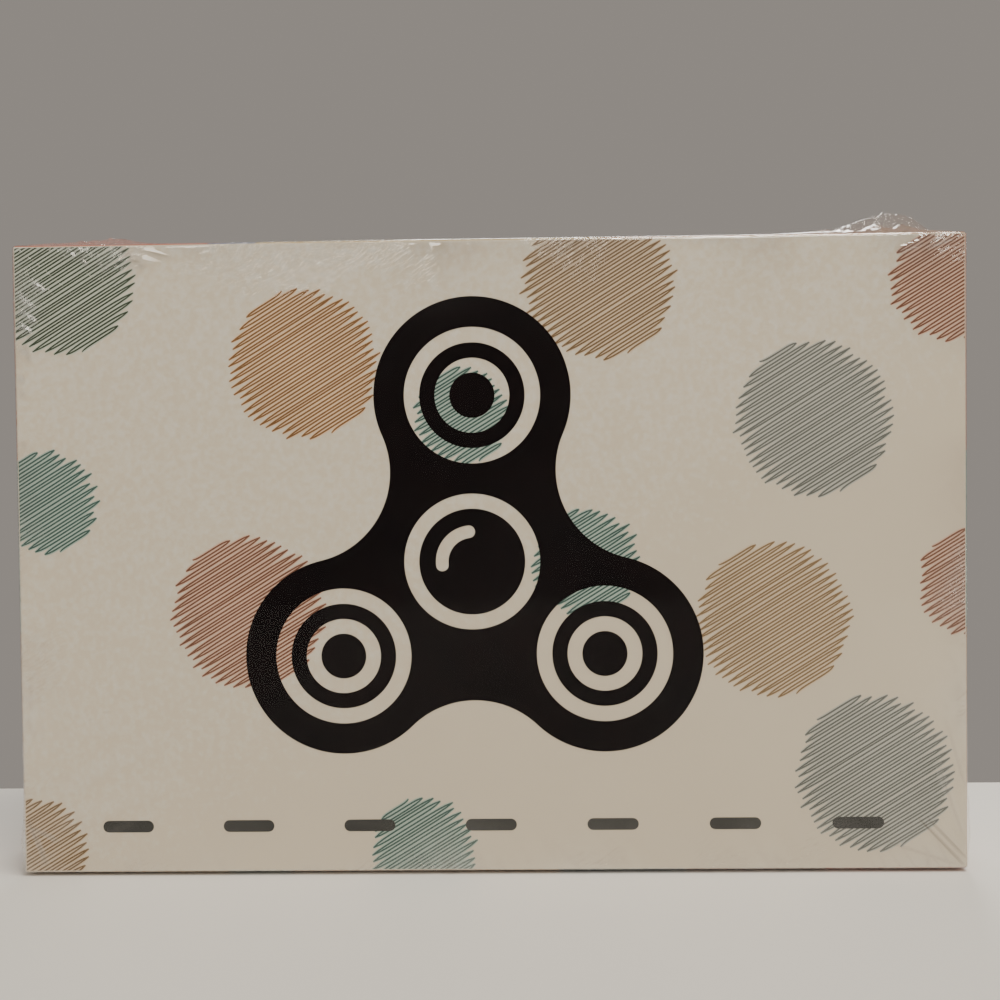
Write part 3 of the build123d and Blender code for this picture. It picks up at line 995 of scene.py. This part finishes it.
def faceLift(across, up, seed):
    # how far the film stands off the flat of the box, how much painted shade its folds get and how much
    # it gleams; places in metres
    toSide = max(0.0, halfWidth - abs(across))
    toEnd = max(0.0, halfHeight - abs(up))
    lift = film["sag"] * wave(across * 17, up * 17, seed)
    paintedFoldShade = 0.0
    gleam = 0.0
    for distance, along, salt in ((toSide, up, 3.1), (toEnd, across, 7.7)):
        patch = max(0.0, wave(along * 40, salt, seed) - pleats["gaps"])
        slanted = (along + 0.6 * distance) * pleats["closeness"]
        pleat = ridged(slanted, distance * 60, seed + salt)
        near = math.exp(-distance / pleats["reach"]) * min(1.0, distance / pleats["start"])
        lift += pleats["height"] * patch * pleat**2 * near
        # painted shade along the crests of the pleats
        paintedFoldShade = max(paintedFoldShade, 0.6 * patch * pleat**4 * near)
        gleam = max(gleam, min(1.0, 2.5 * patch * near))
    # folds that fan out from each corner
    reach = math.hypot(toSide, toEnd)
    turn = math.atan2(toEnd, toSide)
    corner = (1 if across > 0 else 2) + (4 if up > 0 else 8)
    ray = ridged(turn * cornerFolds["rays"], reach * 25, corner + seed)
    near = math.exp(-reach / cornerFolds["reach"])
    lift += cornerFolds["height"] * ray**3 * near * min(1.0, reach / cornerFolds["start"])
    gleam = max(gleam, 0.6 * ray**2 * near)
    if seed == 0:
        for (besides, above), (wide, tall), height in crumples:
            apart = ((across / mm - besides) / wide) ** 2 + ((up / mm - above) / tall) ** 2
            if apart < 6:
                patch = math.exp(-apart)
                tangle = ridged(across * 520, up * 300, seed + 21) ** 2
                tangle += 0.6 * ridged(across * 340, up * 760, 5) ** 2
                lift += height * mm * tangle * patch
                gleam = max(gleam, 0.7 * patch)
        folds = [fold(across / mm, up / mm, *crease) for crease in creases]
        uncovered = 1 - max(cover for *_, cover in folds)
        lift = lift * uncovered + sum(height for height, *_ in folds) * mm
        paintedFoldShade = max([paintedFoldShade] + [shade for _, shade, _, _ in folds])
        gleam = max([gleam] + [shine for _, _, shine, _ in folds])
    return lift, paintedFoldShade, gleam


def wallLift(place, outward, outwardY, seed):
    # the film is drawn tight round the walls and bags only where the list of bags says
    isLong = abs(outward.z) > 0.5
    along = place.x - panelMiddle.x if isLong else place.z - panelMiddle.z
    limit = halfWidth if isLong else halfHeight
    if outward.z < -0.5:
        return wallFilm["pressed"] * wave(along * 60, place.y * 40, seed)
    fromEnd = max(0.0, limit - abs(along))
    nearEnd = math.exp(-fromEnd / wallFilm["wrinkleReach"])
    lift = wallFilm["slack"] * wave(along * 25, place.y * 30, seed + 11)
    lift += wallFilm["wrinkle"] * ridged(along * 150, place.y * 45, seed + 5) ** 2 * nearEnd
    wall = "top" if outward.z > 0.5 else ("right" if outward.x > 0 else "left")
    depth = abs(place.y - (cadBounds[0].y if outwardY < 0 else cadBounds[1].y))
    if wall == "top":
        beyond = max(0.0, depth - wallFilm["topFall"]) / wallFilm["topFall"]
        rise = min(1.0, depth / wallFilm["topRise"]) * math.exp(-(beyond**2))
    else:
        rise = math.exp(-depth / wallFilm["sideFall"])
    # the back half has only the long shallow bag
    for middle, reach, height in bags[wall] if outwardY < 0 else bags["top"][-1:]:
        bulge = math.exp(-(((along / mm - middle) / reach) ** 2))
        lift += height * mm * bulge * rise * (0.75 + 0.5 * ridged(along * 240, place.y * 130, seed + 2))
    return lift


def spread(place, half, band, share):
    # moves evenly spaced cells so that more of them lie within the band at each end
    part = abs(place) / half
    if part <= 1 - share:
        part = (half - band) * part / (1 - share)
    else:
        part = half - band * (1 - part) / share
    return math.copysign(part, place)


def liesAlong(edge, axis):
    return abs((edge.verts[1].co - edge.verts[0].co).normalized()[axis]) > 0.9


def makeFilmHalf(name, node, body, outwardY, seed):
    faceY = (lidLow.y - film["faceGap"]) if outwardY < 0 else (baseHigh.y + film["faceGap"])
    seamY = film["seamGap"] * outwardY
    halfX = halfWidth + film["wallGap"]
    halfZ = halfHeight + film["wallGap"]
    depth = abs(faceY - seamY)
    middle = Vector((panelMiddle.x, (faceY + seamY) / 2, panelMiddle.z))
    size = Matrix.Diagonal((2 * halfX, depth, 2 * halfZ, 1))
    bm = bmesh.new()
    bmesh.ops.create_cube(bm, size=1, matrix=Matrix.Translation(middle) @ size)
    mouth = [face for face in bm.faces if face.normal.y * outwardY < -0.5]
    bmesh.ops.delete(bm, geom=mouth, context="FACES_ONLY")
    for axis, cells in ((0, "across"), (2, "up"), (1, "deep")):
        edges = [edge for edge in bm.edges if liesAlong(edge, axis)]
        bmesh.ops.subdivide_edges(bm, edges=edges, cuts=film["cells"][cells] - 1, use_grid_fill=True)
    for vertex in bm.verts:
        vertex.co.x = middle.x + spread(
            vertex.co.x - middle.x, halfX, film["fineBand"]["across"], film["fineShare"]["across"]
        )
        vertex.co.z = middle.z + spread(
            vertex.co.z - middle.z, halfZ, film["fineBand"]["up"], film["fineShare"]["up"]
        )
    shapeFilm(bm, middle, halfX, halfZ, faceY, outwardY, seed)
    addFin(bm, outwardY)
    bmesh.ops.recalc_face_normals(bm, faces=bm.faces[:])
    if sum(face.normal.y * outwardY for face in bm.faces) < 0:
        bmesh.ops.reverse_faces(bm, faces=bm.faces[:])
    piece = toObject(name, bm, [clearFilm], smooth=True)
    giveThickness(piece)
    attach(piece, body)
    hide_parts(node)


def giveThickness(piece):
    shell = piece.modifiers.new("thickness", "SOLIDIFY")
    shell.thickness = film["thickness"]
    shell.offset = 1.0
    shell.use_even_offset = False


def shapeFilm(bm, middle, halfX, halfZ, faceY, outwardY, seed):
    # rounds the box's folds and lifts each point off the paper along its own outward direction
    radius = film["cornerRadius"]
    # per point: the painted shade of the folds, and how much the film gleams
    paintedShadeLayer = bm.verts.layers.float.new("fold")
    gleamLayer = bm.verts.layers.float.new("gleam")
    for vertex in bm.verts:
        spot = vertex.co.copy()
        inner = Vector((
            max(radius - halfX, min(halfX - radius, spot.x - middle.x)) + middle.x,
            spot.y,
            max(radius - halfZ, min(halfZ - radius, spot.z - middle.z)) + middle.z,
        ))
        if (spot.y - faceY) * outwardY > -radius:
            inner.y = faceY - radius * outwardY
        push = spot - inner
        if push.length < 1e-7:
            continue
        outward = push.normalized()
        rounded = inner + outward * min(push.length, radius)
        faceShare = max(0.0, outward.y * outwardY)
        lift = Vector((0, 0, 0))
        if faceShare > 0:
            height, paintedFoldShade, gleam = faceLift(spot.x - middle.x, spot.z - middle.z, seed)
            lift.y += outwardY * faceShare * height
            vertex[paintedShadeLayer] = faceShare * paintedFoldShade
            vertex[gleamLayer] = gleam if faceShare > 0.999 else 0.5
        if faceShare < 0.999:
            wallDirection = Vector((outward.x, 0, outward.z)).normalized()
            lift += wallDirection * (1 - faceShare) * wallLift(spot, wallDirection, outwardY, seed)
        vertex.co = rounded + lift


def addFin(bm, outwardY):
    # the two halves were cut and sealed together here, which leaves a narrow ragged fin
    for row in (1, 2):
        rim = [edge for edge in bm.edges if edge.is_boundary]
        made = bmesh.ops.extrude_edge_only(bm, edges=rim)
        for vertex in (item for item in made["geom"] if isinstance(item, bmesh.types.BMVert)):
            spot = vertex.co
            sideways = (spot.x - panelMiddle.x) / halfWidth
            upward = (spot.z - panelMiddle.z) / halfHeight
            if abs(sideways) > abs(upward):
                outward = Vector((math.copysign(1, sideways), 0, 0))
            else:
                outward = Vector((0, 0, math.copysign(1, upward)))
            along = spot.x if outward.z else spot.z
            height = film["finHeight"] / 2 * (0.6 + 0.8 * wave(along * 260, 4.2, row))
            if outward.z < 0:
                height = 0.0
            vertex.co = spot + outward * height
            vertex.co.y += outwardY * film["finSway"] * row * wave(along * 150, 9, 3)


ear = {
    # the loose corner of the wrap that the seal has gathered into a crumpled ear
    # sizes in millimetres
    "middle": 103.5,         # along the top from the panel's middle
    "reach": (19, 10),       # to the left and to the right
    "height": 6.6,
    "fromFace": 8.5,
    "bulge": 1.6,
    "sway": 0.5,
    "crumple": 1.05,
    "cells": (150, 36),
}


def makeEar():
    bm = bmesh.new()
    bmesh.ops.create_grid(bm, x_segments=ear["cells"][0], y_segments=ear["cells"][1], size=0.5)
    left, right = ear["reach"]
    wide = left + right
    for vertex in bm.verts:
        along = (vertex.co.x + 0.5) * wide - left
        rise = vertex.co.y + 0.5
        if along < 0:
            slope = 1 - (-along / left) ** 1.3
        else:
            slope = math.sqrt(max(0.0, 1 - (along / right) ** 2))
        top = ear["height"] * (0.10 + 0.90 * slope) * (0.9 + 0.2 * wave(along * 0.9, 3, 1))
        crease = ridged(along * 0.45, rise * 1.6, 4) + 0.5 * ridged(along * 1.1, rise * 3.0, 8) - 0.75
        crease += 0.28 * ridged(along * 2.3, rise * 7.0, 2)
        lean = ear["crumple"] * crease * (0.25 + 0.75 * rise)
        sway = ear["sway"] * (wave(along * 0.5, rise * 2, 6) - 0.5)
        bulge = ear["bulge"] * math.sin(math.pi * rise)
        vertex.co = (
            panelMiddle.x + (ear["middle"] + along + sway) * mm,
            panelFace + (ear["fromFace"] - bulge + lean) * mm,
            panelMiddle.z + halfHeight + (0.15 + top * rise) * mm,
        )
    bmesh.ops.recalc_face_normals(bm, faces=bm.faces[:])
    piece = toObject("shrink_film_ear", bm, [clearFilm], smooth=True)
    giveThickness(piece)
    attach(piece, "lid")


makeCamera()
makeLamps()
makeFloor()
print("camera, lamps and floor made")

clearFilm = makeClearFilm()
lidPaper = makePrintedPaper("lidPaper", panelMiddle, halfWidth, halfHeight)
basePaper = makePrintedPaper("basePaper", baseMiddle, baseHalfWidth, baseHalfHeight)
greyboard = makeGreyboard()
kraft = makePlainPaper("kraftPaper", (0.300, 0.190, 0.095), (0.400, 0.270, 0.150), 700)
liner = makePlainPaper("linerPaper", (0.640, 0.625, 0.580), (0.590, 0.570, 0.520), 500)
for side, paperSkin in (("lid", lidPaper), ("base", basePaper)):
    paint(f"{side}_board", greyboard)
    paint(f"{side}_printed_wrap", paperSkin)
    paint(f"{side}_corner_stays", kraft)
    paint(f"{side}_liner", liner)
paint("insert_tray", makeTrayPlastic())
print("box materials set")

framePlastic = makeMoulded("framePlastic", (0.014, 0.012, 0.014), 0.46, 1500, 0.04 * mm)
capPlastic = makeMoulded("capPlastic", (0.016, 0.014, 0.016), 0.24, 3200, 0.01 * mm)
ballSteel = makeBallSteel()
paint("spinner_frame", framePlastic)
paint("front_finger_cap", capPlastic)
paint("rear_finger_cap", capPlastic)
for bearing in ("hub", "lobe_a", "lobe_b", "lobe_c"):
    low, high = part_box(f"{bearing}_bearing_outer_ring")
    centre = (low + high) / 2
    ringSteel = makeTurnedSteel(f"{bearing}RingSteel", centre, steel["ring"], 0.20)
    cageSteel = makeTurnedSteel(f"{bearing}CageSteel", centre, steel["cage"], 0.36)
    shieldRubber = makeShieldRubber(f"{bearing}Shield", centre)
    paint(f"{bearing}_bearing_outer_ring", ringSteel)
    paint(f"{bearing}_bearing_inner_ring", ringSteel)
    paint(f"{bearing}_bearing_ball_cage", cageSteel)
    paint(f"{bearing}_bearing_balls", ballSteel)
    paint(f"{bearing}_bearing_front_shield", shieldRubber)
    paint(f"{bearing}_bearing_rear_shield", shieldRubber)
    if bearing != "hub":
        paint(f"{bearing}_plug", capPlastic)
print("spinner materials set")

makeDots()
makeSpinnerPicture()
makeTitleBars()
print("front printed")

makeFilmHalf("shrink_film_front", "film_front_half", "lid", -1, 0)
makeFilmHalf("shrink_film_back", "film_back_half", "base", 1, 40)
makeEar()
print("film wrapped")
